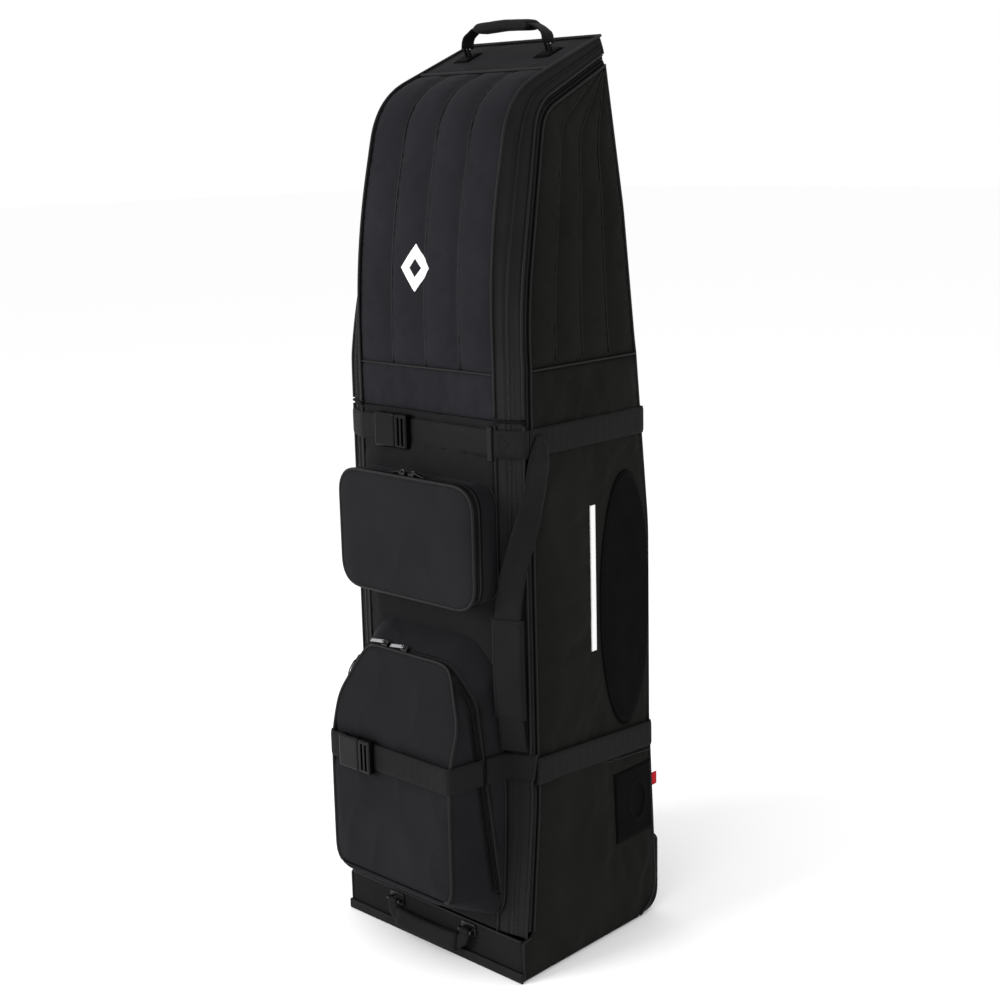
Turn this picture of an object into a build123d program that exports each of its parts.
"""Soft-sided wheeled golf travel case, standing upright on its base.

Frame: +Z up, the front (with the pockets) faces -Y, the origin is the centre of the
base tray's flat underside. All sizes are in millimetres.
"""

import os
from math import asin, degrees

from build123d import *

os.makedirs("parts", exist_ok=True)

# ---------------------------------------------------------------- driving dimensions
BASE_HALF = 178.5  # half width at the floor
BODY_HALF = 165.5  # half width under the padded head
HEAD_HALF = 126.0  # half width at the top
BASE_Z = 62.0  # top of the plinth under the front cover
BODY_Z = 310.0  # where the flare of the base ends
QUILT_Z = 850.0  # seam between plain body and quilted head
TOP_Z = 1281.0  # rear edge of the top panel
FRONT_Y = -128.0  # front panel
PLINTH_Y = -147.0  # front of the base
BACK_Y = 150.0  # back panel
TOP_BACK_Y = 105.0  # back edge at the top
PANEL_HALF = 130.0  # half width of the front panel between its bands
FOLD_Z = 785.0  # the head cover folds forward here
SIDE_T, BACK_T, FRONT_T, HEAD_T, BAND_T = 6.0, 8.0, 4.0, 8.0, 4.5
GAP = 0.4  # between pieces that part
TAPE = 6.6  # width of one side of the main zip
WEB_W, WEB_T = 38.0, 2.6  # webbing
WEB_OFF = 0.5  # webbing lies this far off the cloth

UNDER = -60.0  # the outlines run on below the floor, so no inner copy closes them there
CORNER_R = 48.0  # lower rear corner, over the wheels

# side view, (y, z): front of the covers, seam of the case, back
OUTER = [(-146, BASE_Z), (FRONT_Y, 262), (FRONT_Y, 1004), (-82.5, 1204.5), (TOP_BACK_Y, TOP_Z)]
OUTER_R = [600, 1100, 110]
SEAM_Y = -104.0
SEAM = [(-133, BASE_Z), (SEAM_Y, 262), (SEAM_Y, 905), (-33, 1185), (TOP_BACK_Y, 1249)]
SEAM_R = [400, 700, 60]
BACK = [(TOP_BACK_Y, TOP_Z), (122, 1050), (124, 860), (BACK_Y, 600), (BACK_Y, UNDER)]
BACK_R = [500, 500, 500]
# front view, (half width, z)
WIDTHS = [(BASE_HALF, UNDER), (BASE_HALF, 60), (167, BODY_Z), (BODY_HALF, QUILT_Z), (HEAD_HALF, 1270), (125, 1320)]

STRAP_Z = 755.0  # upper compression strap
LOW_STRAP_Z = 306.0  # lower strap over the shoe pocket
LOW_BACK_Z = 290.0  # lower strap round the back

# upper pocket
UP_HALF, UP_LOW, UP_HIGH, UP_R = 131.0, 532.0, 702.0, 38.0
UP_SPLIT, UP_FACE, POCKET_T = -166.0, -178.0, 3.0
# lower (shoe) pocket
LOW_FACE = -222.0
LOW_BACK_OUTLINE = [(148, 76), (126, 440), (92, 486)]
LOW_FRONT_OUTLINE = [(118, 118), (118, 360), (70, 424)]
LOW_KNEE_Z, LOW_TOP_Y, LOW_TOP_Z = 322.0, -180.0, 446.0  # the face leans back from the knee to the top
ZIP_LOW, ZIP_HIGH = (-147.5, 90.0), (-176.0, 452.0)
LOW_SPLIT_Z = 126.0
ARCH_R, ARCH_STEPS = 40.0, 40

# wheels
WHEEL_X, WHEEL_Y, WHEEL_Z = 148.5, 127.0, 37.0
WHEEL_R, WHEEL_W, AXLE_R = 34.0, 24.0, 4.0
BEARING_R, BEARING_W = 11.0, 7.0
HOUSING_IN, HOUSING_OUT, HOUSING_FRONT, HOUSING_BACK, HOUSING_TOP = 127.0, 170.0, 72.0, 157.0, 100.0

# buckles and handles
BUCKLE_X, LOW_BUCKLE_X = -52.0, -50.0  # where socket and plug of each buckle meet
TOP_HANDLE_X, TOP_HANDLE_Y, TOP_HANDLE_Z = 76.0, 50.0, 1271.0  # pins of the top handle
BOTTOM_HANDLE_X, BOTTOM_HANDLE_Y, BOTTOM_HANDLE_Z = 74.0, -156.0, 49.0  # pins of the bottom handle
WRAP_LOW, WRAP_HIGH = 380.0, 520.0  # the carry handle's wrapped grip
# carry handle webbing from the top down: z, then the front and rear edge seen from above
CARRY = [
    (764, (171.2, -92), (171.2, -80)),
    (746, (171.2, -104), (171.2, -70)),
    (726, (171.2, -111), (171.2, -67)),
    (694, (170.5, -118), (173, -77)),
    (654, (162, -128), (177, -93)),
    (620, (154, -134.5), (176, -104.5)),
    (585, (143, -139), (172, -117)),
    (550, (136.5, -141), (170.5, -124)),
    (WRAP_HIGH, (134, -142), (170, -129)),
    (450, (134, -142), (170.5, -129.5)),
    (WRAP_LOW, (135, -141), (171, -128.5)),
    (332, (133.5, -136), (168, -120)),
]

SIDE_NAME = {1: "right", -1: "left"}
BIG = 400.0


# ---------------------------------------------------------------- helpers
def write(shape, name):
    """Writes one sub-part as a compound of its closed solids."""
    export_step(Compound(children=list(shape.solids())), f"parts/{name}.step")


def block(x0, x1, y0, y1, z0, z1):
    size = (x1 - x0, y1 - y0, z1 - z0)
    return Pos((x0 + x1) / 2, (y0 + y1) / 2, (z0 + z1) / 2) * Box(*size)


def rod_x(radius, x0, x1, y, z):
    return Pos((x0 + x1) / 2, y, z) * Rot(0, 90, 0) * Cylinder(radius, x1 - x0)


def side_prism(face):
    """A face drawn as (y, z), extruded across the whole width."""
    return extrude(Plane.YZ * face, amount=BIG, both=True)


def front_prism(face):
    """A face drawn as (x, z), extruded through the whole depth."""
    return extrude(Plane.XZ * face, amount=BIG, both=True)


def polygon(points):
    return make_face(Polyline(*points, close=True))


def skin(sections):
    """A closed solid of triangles through sections with the same number of points.

    The second half of each section is cut along the other diagonal, so that facing walls stay parallel.
    """
    faces = []
    for first, last in zip(sections, sections[1:]):
        count = len(first)
        for i in range(count):
            a, b, c, d = first[i], first[(i + 1) % count], last[(i + 1) % count], last[i]
            halves = ((a, b, c), (a, c, d)) if i < count // 2 else ((a, b, d), (b, c, d))
            faces += [Face(Wire.make_polygon([Vector(*p) for p in corners])) for corners in halves]
    for end in (sections[0], sections[-1]):
        caps = (end[:3], [end[0], *end[2:]]) if len(end) == 4 else (end,)
        faces += [Face(Wire.make_polygon([Vector(*c) for c in cap])) for cap in caps]
    solid = Solid(Shell(faces))
    return solid if solid.volume > 0 else -solid


def side_outline():
    front = FilletPolyline(*OUTER, radius=OUTER_R)
    back = FilletPolyline(*BACK, radius=BACK_R)
    base = Polyline(BACK[-1], (PLINTH_Y, UNDER), (PLINTH_Y, BASE_Z), OUTER[0])
    return make_face(front + back + base)


def width_outline():
    right = list(WIDTHS)
    left = [(-x, z) for x, z in reversed(WIDTHS)]
    return polygon(right + left)


SIDE_FACE, WIDTH_FACE = side_outline(), width_outline()


def depth_body(inset):
    return side_prism(offset(SIDE_FACE, -inset) if inset else SIDE_FACE)


def width_body(inset):
    return front_prism(offset(WIDTH_FACE, -inset) if inset else WIDTH_FACE)


def behind(distance):
    """All that lies behind the case seam, moved forward by distance."""
    line = FilletPolyline(*SEAM, radius=SEAM_R)
    end = Polyline(SEAM[-1], (BIG, SEAM[-1][1]), (BIG, -BIG), (-BIG, -BIG), (-BIG, BASE_Z), SEAM[0])
    return side_prism(offset(make_face(line + end), distance, kind=Kind.INTERSECTION))


def half_width(z):
    """Half width of the case at height z."""
    for (x0, z0), (x1, z1) in zip(WIDTHS, WIDTHS[1:]):
        if z <= z1:
            return x0 + (x1 - x0) * (z - z0) / (z1 - z0)
    return WIDTHS[-1][0]


def right(shape):
    return shape & block(0.5, BIG, -BIG, BIG, -10, 1400)


def left(shape):
    return mirror(right(shape), about=Plane.YZ)


def band(points, thickness, z0, z1):
    """Webbing: a strip along points (x, y), with its thickness centred on them."""
    def shifted(side):
        made = []
        for i, p in enumerate(points):
            dirs = []
            if i:
                dirs.append((Vector(*p) - Vector(*points[i - 1])).normalized())
            if i < len(points) - 1:
                dirs.append((Vector(*points[i + 1]) - Vector(*p)).normalized())
            along = sum(dirs[1:], dirs[0]).normalized()
            normal = Vector(-along.Y, along.X)
            stretch = 1 / max(0.3, abs(along.dot(dirs[0])))
            made.append(Vector(*p) + normal * (side * thickness / 2 * stretch))
        return made

    outline = shifted(1) + list(reversed(shifted(-1)))
    face = make_face(Polyline(*outline, close=True))
    return Pos(0, 0, z0) * extrude(face, amount=z1 - z0)


def above_floor(back, floor, corner):
    """Everything ahead of back and above floor, with the lower rear corner rounded."""
    face = polygon([(-BIG, floor), (back, floor), (back, 1400), (-BIG, 1400)])
    vertex = face.vertices().sort_by(lambda v: v.Y - v.X)[0]
    return side_prism(fillet(vertex, corner))


# ---------------------------------------------------------------- case (the root body)
def side_panels():
    plate = depth_body(0) & (width_body(0) - width_body(SIDE_T)) & behind(-TAPE - GAP)
    plate = right(plate) & above_floor(BACK_Y, 1, CORNER_R)
    lower = plate & block(0, BIG, -BIG, BIG, 0, QUILT_Z - 0.3)
    upper = plate & block(0, BIG, -BIG, BIG, QUILT_Z + 0.3, 1400)
    for name, shape in (("side_panel", lower), ("head_side", upper)):
        write(shape, name + "_right")
        write(mirror(shape, about=Plane.YZ), name + "_left")


def housing_space(extra):
    """The corner blocks that the wheel housings fill, both sides."""
    corner = block(HOUSING_IN - extra, HOUSING_OUT + 2.2, HOUSING_FRONT - extra, 170, -1, HOUSING_TOP + extra)
    return corner + mirror(corner, about=Plane.YZ)


def back_panel():
    wall = (depth_body(0) - depth_body(BACK_T)) & width_body(SIDE_T + 0.3) & behind(-TAPE - GAP)
    wall = wall & block(-BIG, BIG, 60, BIG, 1, 1400)
    write((wall & above_floor(BACK_Y, 1, CORNER_R)) - housing_space(GAP), "back_panel")


def base_tray():
    """Moulded pan inside the cloth, open round the wheels."""
    side, wall, height = BASE_HALF - SIDE_T - 0.7, 3.5, 58.0
    front, back = PLINTH_Y + 5.5, BACK_Y - BACK_T - 0.5
    pan = block(-side, side, front, back, 0, height)
    hollow = above_floor(back - wall, 4, CORNER_R - BACK_T - wall)
    pan -= hollow & block(wall - side, side - wall, front + wall, back, 4, height + 1)
    ribs = [block(x - 1.5, x + 1.5, front + 1, 96, 3.5, 8) for x in (-60, 0, 60)]
    for rib in ribs:
        pan += rib
    pan = pan & above_floor(back, 0, CORNER_R - BACK_T)
    write(pan - housing_space(GAP), "base_tray")


def plinth():
    inner = BASE_HALF - SIDE_T - 0.3
    write(block(-inner, inner, PLINTH_Y, PLINTH_Y + 4, 1, BASE_Z - 0.5), "base_front_panel")
    bumper = block(-BASE_HALF, BASE_HALF, PLINTH_Y - 4, PLINTH_Y - 0.3, 0.2, 15)
    bumper = fillet(bumper.edges().filter_by(Axis.X).group_by(Axis.Y)[0], 1.6)
    write(bumper, "base_bumper")


def wheel_housing(sign):
    shell = block(HOUSING_IN, HOUSING_OUT, HOUSING_FRONT, HOUSING_BACK, 0, HOUSING_TOP)
    shell = shell & above_floor(HOUSING_BACK, 0, CORNER_R)
    cavity_r, x0, x1 = WHEEL_R + 4, WHEEL_X - 13.5, WHEEL_X + 13.5
    shell -= rod_x(cavity_r, x0, x1, WHEEL_Y, WHEEL_Z)
    shell -= block(x0, x1, WHEEL_Y, 200, -10, WHEEL_Z + cavity_r)
    shell -= block(x0, x1, WHEEL_Y - cavity_r, 200, -10, WHEEL_Z)
    shell -= rod_x(AXLE_R, 100, 200, WHEEL_Y, WHEEL_Z)
    shell -= block(HOUSING_IN + 3, HOUSING_OUT - 3, HOUSING_FRONT - 5, WHEEL_Y - cavity_r - 4, 4, HOUSING_TOP - 4)
    write(shell if sign > 0 else mirror(shell, about=Plane.YZ), f"wheel_housing_{SIDE_NAME[sign]}")


def wheel(sign):
    side, x0, x1 = SIDE_NAME[sign], WHEEL_X - WHEEL_W / 2, WHEEL_X + WHEEL_W / 2
    rim_r, bearing_r, bearing_w = 24.0, BEARING_R, BEARING_W
    tyre = rod_x(WHEEL_R, x0, x1, WHEEL_Y, WHEEL_Z)
    tyre = fillet(tyre.edges(), 7) - rod_x(rim_r, x0 - 1, x1 + 1, WHEEL_Y, WHEEL_Z)
    hub = rod_x(rim_r - 0.02, x0 + 1, x1 - 1, WHEEL_Y, WHEEL_Z)
    for face_x in (x0 + 1, x1 - 1):
        dish = rod_x(rim_r - 3, face_x - 6, face_x + 6, WHEEL_Y, WHEEL_Z)
        hub -= dish - rod_x(bearing_r + 3, face_x - 6, face_x + 6, WHEEL_Y, WHEEL_Z)
        hub -= rod_x(bearing_r, face_x - bearing_w, face_x + bearing_w, WHEEL_Y, WHEEL_Z)
    hub -= rod_x(6.5, x0, x1, WHEEL_Y, WHEEL_Z)
    for shape, name in ((tyre, "wheel_tyre"), (hub, "wheel_hub")):
        write(shape if sign > 0 else mirror(shape, about=Plane.YZ), f"{name}_{side}")


def axles():
    """The pins, and the bearings that sit on them inside the hubs."""
    pin = rod_x(AXLE_R - 0.02, HOUSING_IN + 1, HOUSING_OUT - 0.5, WHEEL_Y, WHEEL_Z)
    pin += rod_x(AXLE_R + 2.5, HOUSING_IN - 3, HOUSING_IN - 0.2, WHEEL_Y, WHEEL_Z) + rod_x(
        AXLE_R - 0.02, HOUSING_IN - 1, HOUSING_IN + 2, WHEEL_Y, WHEEL_Z)
    write(Compound(children=[pin, mirror(pin, about=Plane.YZ)]), "wheel_axles")
    bearings = []
    for x0 in (WHEEL_X - WHEEL_W / 2 + 1, WHEEL_X + WHEEL_W / 2 - 1 - BEARING_W + 0.2):
        ring = rod_x(BEARING_R - 0.05, x0, x0 + BEARING_W - 0.2, WHEEL_Y, WHEEL_Z)
        ring -= rod_x(AXLE_R, 100, 200, WHEEL_Y, WHEEL_Z)
        bearings += [ring, mirror(ring, about=Plane.YZ)]
    write(Compound(children=bearings), "wheel_bearings")


def kick_plate():
    """Moulded guard that wraps the lower rear edge between the wheel housings."""
    half, out = HOUSING_IN - 1.5, 3.0

    def wrap(distance):
        return above_floor(BACK_Y + distance, 1 - distance, CORNER_R + distance)

    inside = wrap(0.3)
    plate = (wrap(0.3 + out) - inside) & block(-half, half, 120, BIG, 0.3, 118)
    for x in (-75, 0, 75):
        plate += (wrap(2 * out) - inside) & block(x - 5, x + 5, 120, BIG, 0.3, 108)
    write(plate, "kick_plate")


def zip_ring(near, far):
    layer = behind(near) - behind(far)
    shell = (depth_body(1) & width_body(1)) - (depth_body(4) & width_body(4))
    return layer & shell & block(-BIG, BIG, -BIG, BIG, BASE_Z + 9, 1400)


def zip_tapes():
    write(zip_ring(-GAP, -TAPE), "case_zip_tape")
    ring = zip_ring(TAPE, GAP)
    write(ring & block(-BIG, BIG, -BIG, BIG, 0, FOLD_Z - 0.5), "front_zip_tape")
    write(ring & block(-BIG, BIG, -BIG, BIG, FOLD_Z + 0.5, 1400), "head_zip_tape")


def back_straps():
    lift = WEB_OFF + WEB_T / 2
    for name, z, back_y in (("upper_strap_back", STRAP_Z, 136.4), ("lower_strap_back", LOW_BACK_Z, BACK_Y)):
        low, high = z - WEB_W / 2, z + WEB_W / 2
        x, y = half_width(low) + lift, back_y + lift
        front = SEAM_Y + 1
        path = [(x, front), (x, y), (-x, y), (-x, front)]
        write(band(path, WEB_T, low, high), name)


def outer_skin(low, high):
    """A layer on the outside of the side panels, low to high above the cloth."""
    return front_prism(offset(WIDTH_FACE, high, kind=Kind.INTERSECTION)) - front_prism(
        offset(WIDTH_FACE, low, kind=Kind.INTERSECTION))


def side_patches():
    half_y, half_z = 58.0, 190.0
    oval = Pos(95, 500) * Ellipse(half_y, half_z)
    cut = side_prism(oval) & block(-BIG, BIG, -BIG, BACK_Y - 4, 0, 1400)
    patch = right(outer_skin(0.2, 1.2) & cut)
    write(Compound(children=[patch, mirror(patch, about=Plane.YZ)]), "wear_patches")
    window = side_prism(Pos(104, 188) * RectangleRounded(86, 108, 8))
    oval = side_prism(Pos(110, 190) * Ellipse(17, 27))
    small = right(outer_skin(0.2, 2.4) & window) - right(outer_skin(1.4, 3.0) & oval)
    write(Compound(children=[small, mirror(small, about=Plane.YZ)]), "corner_patches")


def tag_and_cinch():
    write(block(160, 161.6, BACK_Y + 0.3, BACK_Y + 15, 196, 216), "red_tag")
    back = BACK_Y - BACK_T - 0.4
    webs = [block(x0, x1, back - 2.4, back, 470, 500) for x0, x1 in ((-150, -22), (22, 150))]
    clip = block(-21.6, 21.6, back - 9, back, 464, 506)
    write(Compound(children=[*webs, fillet(clip.edges(), 2)]), "inner_cinch_strap")


# ---------------------------------------------------------------- front cover
def band_solid(outer, seam, shares):
    """A band from the front panel's edge to the case seam, through shares of both lines."""
    sections = []
    for share in shares:
        p, d = outer @ share, (outer % share).normalized()
        s, e = seam @ share, (seam % share).normalized()
        sy, sz = s.X - e.Y * (TAPE + GAP), s.Y + e.X * (TAPE + GAP)
        x, edge = half_width(sz), front_edge(p.Y)
        sections.append([(edge, p.X, p.Y), (x, sy, sz), (x - BAND_T, sy, sz),
                         (edge, p.X + d.Y * BAND_T, p.Y - d.X * BAND_T)])
    return skin(sections)


def front_edge(z):
    """Half width of the front and head panels at height z."""
    if z <= QUILT_Z:
        return PANEL_HALF
    return PANEL_HALF - 7 * (z - QUILT_Z) / (TOP_Z - QUILT_Z)


def front_cover():
    low, high = BASE_Z + 4, FOLD_Z - 0.5
    wall = depth_body(0) - depth_body(FRONT_T)
    write(wall & block(0.5 - PANEL_HALF, PANEL_HALF - 0.5, -BIG, -60, low, high), "front_panel")
    outer = FilletPolyline((-145.6, low), OUTER[1], (FRONT_Y, high), radius=600)
    seam = FilletPolyline((-132.4, low), SEAM[1], (SEAM_Y, high), radius=400)
    piece = band_solid(outer, seam, [0, 0.06, 0.12, 0.18, 0.24, 0.3, 0.36, 0.42, 1])
    write(Compound(children=[piece, mirror(piece, about=Plane.YZ)]), "front_bands")


def head_cover():
    low = FOLD_Z + 0.5
    edge = polygon([(front_edge(z) - 0.5, z) for z in (low, QUILT_Z, 1300)]
                   + [(0.5 - front_edge(z), z) for z in (1300, QUILT_Z, low)])
    inside = front_prism(edge)
    padded = (depth_body(0) - depth_body(HEAD_T)) & inside
    write(padded & block(-BIG, BIG, -BIG, -0.4, low, 1400), "head_front_panel")
    thin = (depth_body(0) - depth_body(FRONT_T)) & inside
    write(thin & block(-BIG, BIG, 0.4, TOP_BACK_Y - 5, 1200, 1400), "top_panel")
    outer = FilletPolyline((FRONT_Y, low), *OUTER[2:4], (TOP_BACK_Y - 5, TOP_Z - 2.04), radius=OUTER_R[1:])
    seam = FilletPolyline((SEAM_Y, low), *SEAM[2:4], (TOP_BACK_Y - 5, 1246.7), radius=SEAM_R[1:])
    shares = [0, 0.1, 0.2, 0.3, 0.37, 0.44, 0.5, 0.56, 0.62, 0.68, 0.74, 0.8, 0.86, 0.93, 1]
    piece = band_solid(outer, seam, shares)
    ahead = behind(TAPE + GAP)
    piece = piece - ahead
    rear = (depth_body(0) - depth_body(FRONT_T)) - ahead
    rear = rear & block(-118, 118, TOP_BACK_Y - 4.6, BIG, 1240, 1400)
    write(Compound(children=[piece, mirror(piece, about=Plane.YZ), *rear.solids()]), "head_bands")


def cover_webbing():
    """Webbing stitched to the front cover: both ends of the upper strap, and the lower strap's links."""
    y, off = FRONT_Y - WEB_OFF - WEB_T / 2, WEB_OFF + WEB_T / 2
    low, high = STRAP_Z - WEB_W / 2, STRAP_Z + WEB_W / 2
    side_x, corner_y, end_y = half_width(low) + off, -112.8, SEAM_Y - 0.6
    long_end = band([(BUCKLE_X + 1, y), (PANEL_HALF + 0.2, y), (side_x, corner_y), (side_x, end_y)], WEB_T, low, high)
    short_end = band([(-side_x, end_y), (-side_x, corner_y), (-PANEL_HALF - 0.2, y), (BUCKLE_X - 41, y)],
                     WEB_T, low, high)
    keeper = block(120, 128, y - 4.2, FRONT_Y - 0.3, STRAP_Z - 23, STRAP_Z + 23)
    keeper -= block(110, 140, y - WEB_T / 2 - 0.2, y + WEB_T / 2 + 0.2, STRAP_Z - 19.4, STRAP_Z + 19.4)
    write(keeper, "strap_keeper")
    low, high = LOW_STRAP_Z - WEB_W / 2, LOW_STRAP_Z + WEB_W / 2
    side_x = half_width(low) + off
    link = band([(131.6, -161.5), (138, -128.3), (side_x, corner_y), (side_x, end_y)], WEB_T, low, high)
    write(Compound(children=[long_end, short_end, link, mirror(link, about=Plane.YZ)]), "cover_webbing")


def buckle(x, y, z, prefix):
    """Side-release buckle: socket on the left, plug on the right, webbing behind its bars."""
    deep, half_h, long = 13.0, 24.0, 40.0
    front = y - deep
    socket = fillet(block(x - long, x, front, y - 0.4, z - half_h, z + half_h).edges(), 3)
    socket -= block(x - long + 5, x + 5, y - deep + 2.4, y - 4.4, z - 19, z + 19)
    for side in (-1, 1):
        socket -= block(x - 27, x - 12, y - deep + 2.4, y - 4.4, z + side * 22 - 4, z + side * 22 + 4)
    plug = fillet(block(x + 0.5, x + 24, front, y - 0.1, z - half_h, z + half_h).edges(), 2.5)
    plug -= block(x - 5, x + 30, y - 3.6, y + 1, z - WEB_W / 2 - 0.5, z + WEB_W / 2 + 0.5)
    for slot_x in (x + 6.5, x + 14.5):
        plug -= block(slot_x, slot_x + 4.5, front - 1, y + 1, z - WEB_W / 2 - 0.5, z + WEB_W / 2 + 0.5)
    for side in (-1, 1):
        centre = z + side * 14.5
        plug += block(x - 26, x + 2, y - deep + 3, y - 5, centre - 3.5, centre + 3.5)
    plug += block(x - 22, x + 2, y - deep + 3, y - 5, z - 3, z + 3)
    write(socket, prefix + "_buckle_socket")
    write(plug, prefix + "_buckle_plug")


# ---------------------------------------------------------------- pockets
def upper_pocket():
    middle, height = (UP_LOW + UP_HIGH) / 2, UP_HIGH - UP_LOW

    def sleeve(inset, y0, y1):
        face = Pos(0, middle) * RectangleRounded(2 * (UP_HALF - inset), height - 2 * inset, UP_R - inset)
        return Pos(0, y1, 0) * extrude(Plane.XZ * face, amount=y1 - y0)

    walls = sleeve(0, UP_SPLIT, FRONT_Y - 0.3) - sleeve(POCKET_T, UP_SPLIT - 1, FRONT_Y + 1)
    write(walls, "upper_pocket_shell")
    lid = sleeve(0, UP_FACE, UP_SPLIT - GAP) - sleeve(POCKET_T, UP_FACE + 4, UP_SPLIT + 1)
    write(fillet(lid.edges().group_by(Axis.Y)[0], 3), "upper_pocket_lid")


def arch(points, inset, y):
    """Points of an arch outline, from its (half width, z) foot, shoulder and crown, at depth y."""
    foot, shoulder, crown = points
    half = [(foot[0] - inset, foot[1] + inset), (shoulder[0] - inset, shoulder[1] - inset / 2),
            (crown[0] - inset / 2, crown[1] - inset)]
    line = FilletPolyline(*half, *[(-x, z) for x, z in reversed(half)], radius=ARCH_R)
    sampled = [line @ (i / ARCH_STEPS) for i in range(ARCH_STEPS + 1)]
    return [(v.X, y, v.Y) for v in sampled]


def pocket_body(inset):
    rear = arch(LOW_BACK_OUTLINE, inset, FRONT_Y - 0.3 + (1 if inset else 0))
    front = arch(LOW_FRONT_OUTLINE, inset, LOW_FACE + inset)
    knee, top_y, top_z = LOW_KNEE_Z - inset, LOW_TOP_Y + inset, LOW_TOP_Z - inset
    lean = [(-260, knee), (LOW_FACE + inset, knee), (top_y, top_z), (top_y, 520), (-260, 520)]
    return skin([rear, front]) - side_prism(polygon(lean))


def lower_pocket():
    cover = side_prism(offset(SIDE_FACE, GAP))
    shell = pocket_body(0) - pocket_body(POCKET_T) - cover
    dy, dz = ZIP_HIGH[0] - ZIP_LOW[0], ZIP_HIGH[1] - ZIP_LOW[1]

    def line(z, shift):
        return (ZIP_LOW[0] + dy * (z - ZIP_LOW[1]) / dz + shift, z)

    ahead = side_prism(polygon([line(0, -GAP), line(600, -GAP), (-BIG, 600), (-BIG, 0)]))
    ahead = ahead & block(-BIG, BIG, -BIG, 0, LOW_SPLIT_Z + 0.3, 700)
    fixed_front = side_prism(polygon([line(0, 0), line(600, 0), (-BIG, 600), (-BIG, 0)]))
    fixed_front = fixed_front & block(-BIG, BIG, -BIG, 0, LOW_SPLIT_Z, 700)
    write(shell & ahead, "lower_pocket_lid")
    write(shell - fixed_front, "lower_pocket_gusset")


def pocket_strap():
    """The lower strap over the shoe pocket, and its wrap down the pocket's sides."""
    low, high = LOW_STRAP_Z - WEB_W / 2, LOW_STRAP_Z + WEB_W / 2
    y, side = LOW_FACE - WEB_OFF - WEB_T / 2, [(119.9, LOW_FACE - 1.8), (130.2, -168)]
    long_end = band([(LOW_BUCKLE_X + 1, y), side[0], side[1]], WEB_T, low, high)
    short_end = band([(-side[1][0], side[1][1]), (-side[0][0], side[0][1]), (LOW_BUCKLE_X - 41, y)], WEB_T, low, high)
    write(Compound(children=[long_end, short_end]), "lower_strap_front")


def zipper(origin, track, normal, prefix, pull_long=24.0, hang=0):
    """A slider on its track, and a pull whose end bar sits in the slider's ring.

    The pull lies along -track, or is turned about the normal by hang degrees.
    """
    frame = Plane(origin=origin, x_dir=track, z_dir=normal)
    slider = fillet((Pos(0, 0, 2.2) * Box(12, 9, 3.6)).edges().filter_by(Axis.Z), 2.5)
    ring = Pos(-1, 0, 5) * Rot(90, 0, 0) * Torus(2.6, 0.8) & Pos(-1, 0, 7) * Box(12, 4, 8)
    tab = Pos(-pull_long / 2, 0, 0) * Box(pull_long, 5.5, 1.2)
    tab = fillet(tab.edges().filter_by(Axis.Z), 2.4) - Pos(-2.3, 0, 0) * Box(3.2, 2.6, 4)
    droop = -degrees(asin(5.0 / pull_long))
    turn = Rot(0, 0, hang)
    write(frame.location * (slider + turn * ring), prefix + "_slider")
    write(frame.location * (turn * Pos(-0.9, 0, 5.9) * Rot(0, droop, 0) * tab), prefix + "_pull")


# ---------------------------------------------------------------- handles
def arch_strip(points, thickness, y0, y1):
    """A strip through (x, z) points, y0 to y1 wide."""
    flat = band(points, thickness, 0, y1 - y0)
    return Pos(0, y1, 0) * Rot(90, 0, 0) * flat


def top_handle():
    """A padded bail that swings on pins held by lugs on the two stitched patches."""
    y, z, half = TOP_HANDLE_Y, TOP_HANDLE_Z, 13.0
    rise = [(-TOP_HANDLE_X, z), (-TOP_HANDLE_X + 2, z + 15), (-54, z + 27)]
    path = rise + [(-x, high) for x, high in reversed(rise)]
    webbing = arch_strip(path, 3, y - half, y + half)
    slope, pin_r, lug_r = 22.2, 1.2, 2.6
    patches = []
    for side in (-1, 1):
        foot_x = side * TOP_HANDLE_X
        low = block(foot_x - 4, foot_x + 4, -BIG, BIG, z - 9, z + 4)
        low -= block(foot_x - 5, foot_x + 5, y - 5, y + 5, 0, 1400)
        webbing = webbing - low + rod_x(5, foot_x - 1.5, foot_x + 1.5, y, z)
        webbing -= rod_x(pin_r + 0.1, foot_x - 9, foot_x + 9, y, z)
        patch = Pos(foot_x, y, 1260.4) * Rot(slope, 0, 0) * Box(26, 34, 1.8)
        for lug_x in (foot_x - 3.4, foot_x + 3.4):
            patch += rod_x(lug_r, lug_x - 1, lug_x + 1, y, z)
            patch += block(lug_x - 1, lug_x + 1, y - lug_r, y + lug_r, 1260, z)
        patches.append(patch + rod_x(pin_r, foot_x - 4.4, foot_x + 4.4, y, z))
    grip = fillet(block(-50, 50, y - 16, y + 16, z + 18.5, z + 35.5).edges().filter_by(Axis.X), 6)
    write(grip - arch_strip(path, 3.04, y - half - 0.02, y + half + 0.02), "top_handle_grip")
    write(webbing, "top_handle_webbing")
    write(Compound(children=patches), "top_handle_patches")


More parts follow.
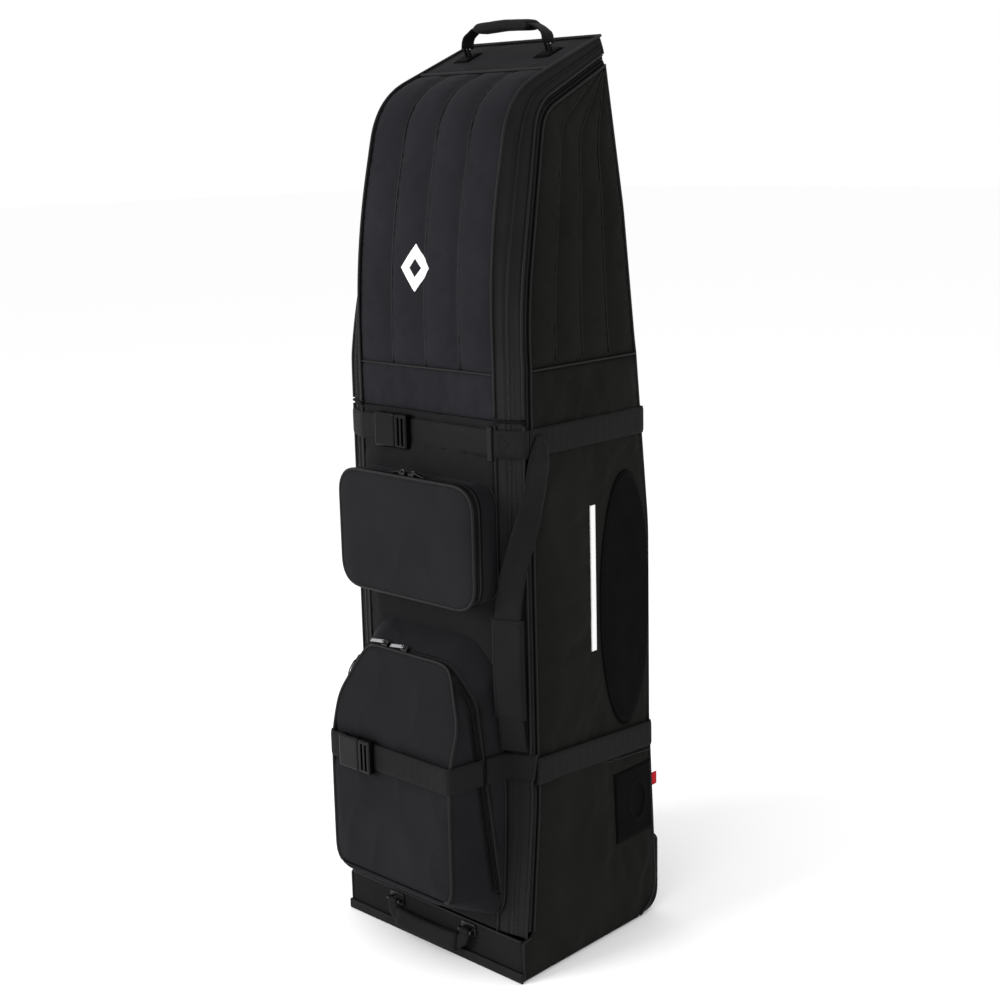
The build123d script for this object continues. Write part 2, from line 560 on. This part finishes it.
def bottom_handle():
    """A padded bail whose webbing loops turn on the pins of two riveted plates."""
    reach, y, z, lean = BOTTOM_HANDLE_X, BOTTOM_HANDLE_Y, BOTTOM_HANDLE_Z, -12
    turn = Pos(0, y, z) * Rot(lean, 0, 0)
    grip = fillet((turn * Pos(0, 0, -21) * Box(124, 11, 26)).edges(), 4.5)
    webbing, plates = None, []
    for s in (-1, 1):
        strap = Pos(s * (reach - 11.5), 0, -13.5) * Box(40, 2.4, 20) + rod_x(4, s * reach - 8, s * reach + 8, 0, 0)
        loop = turn * (strap - rod_x(1.8, s * reach - 40, s * reach + 40, 0, 0))
        webbing = loop if webbing is None else Compound(children=[webbing, loop])
        plate = fillet(block(s * reach - 14, s * reach + 14, PLINTH_Y - 2.2, PLINTH_Y - 0.3, z - 9, z + 9)
                       .edges().filter_by(Axis.Y), 3)
        plate += rod_x(1.6, s * reach - 13, s * reach + 13, y, z)
        for x in (s * reach - 11, s * reach + 11):
            plate += block(x - 1.6, x + 1.6, y - 2, PLINTH_Y - 2, z - 2, z + 2)
        plates.append(plate)
    slots = [turn * Pos(s * (reach - 11.5), 0, -13.5) * Box(40.04, 2.44, 20.04) for s in (-1, 1)]
    write(grip - slots[0] - slots[1], "bottom_handle_grip")
    write(webbing, "bottom_handle_webbing")
    write(Compound(children=plates), "bottom_handle_plates")


def carry_section(z, front, rear, spread, thickness):
    """One level of the carry handle: a thin rectangle from its front edge to its rear edge."""
    a, b = Vector(*front), Vector(*rear)
    along = (b - a).normalized()
    out = Vector(along.Y, -along.X) * (thickness / 2)
    a, b = a - along * spread, b + along * spread
    return [(p.X, p.Y, z) for p in (a + out, b + out, b - out, a - out)]


def carry_handle():
    """Slack webbing from the side over the right band to the front, with a wrapped grip."""
    def through(rows, spread, thickness):
        return skin([carry_section(*row, spread, thickness) for row in rows])

    held = [row for row in CARRY if WRAP_LOW <= row[0] <= WRAP_HIGH]
    fit = 0.02
    write(through(held, 4.0, 7.0) - through(CARRY, fit, WEB_T + 2 * fit), "carry_wrap")
    write(through(CARRY, 0, WEB_T), "carry_webbing")


side_panels()
back_panel()
base_tray()
plinth()
for hand in (1, -1):
    wheel_housing(hand)
    wheel(hand)
axles()
kick_plate()
zip_tapes()
back_straps()
side_patches()
tag_and_cinch()
front_cover()
head_cover()
cover_webbing()
buckle(BUCKLE_X, FRONT_Y - WEB_OFF + 0.4, STRAP_Z, "upper")
buckle(LOW_BUCKLE_X, LOW_FACE - WEB_OFF + 0.4, LOW_STRAP_Z, "lower")
upper_pocket()
lower_pocket()
pocket_strap()
for tag, slide_x in (("upper_left", -9.0), ("upper_right", 9.0)):
    zipper((slide_x, UP_SPLIT, UP_HIGH + 0.3), (1 if slide_x < 0 else -1, 0, 0), (0, 0, 1), tag)
for tag, slide_x in (("lower_left", -46.0), ("lower_right", -6.0)):
    zipper((slide_x, -176.5, 455.6), (1, 0, 0), (0, -0.5, 0.866), tag, 30.0)
zipper((0, TOP_BACK_Y + 3.2, 1249.0), (1, 0, 0), (0, 1, 0.074), "main", 28.0, -90)
top_handle()
bottom_handle()
carry_handle()
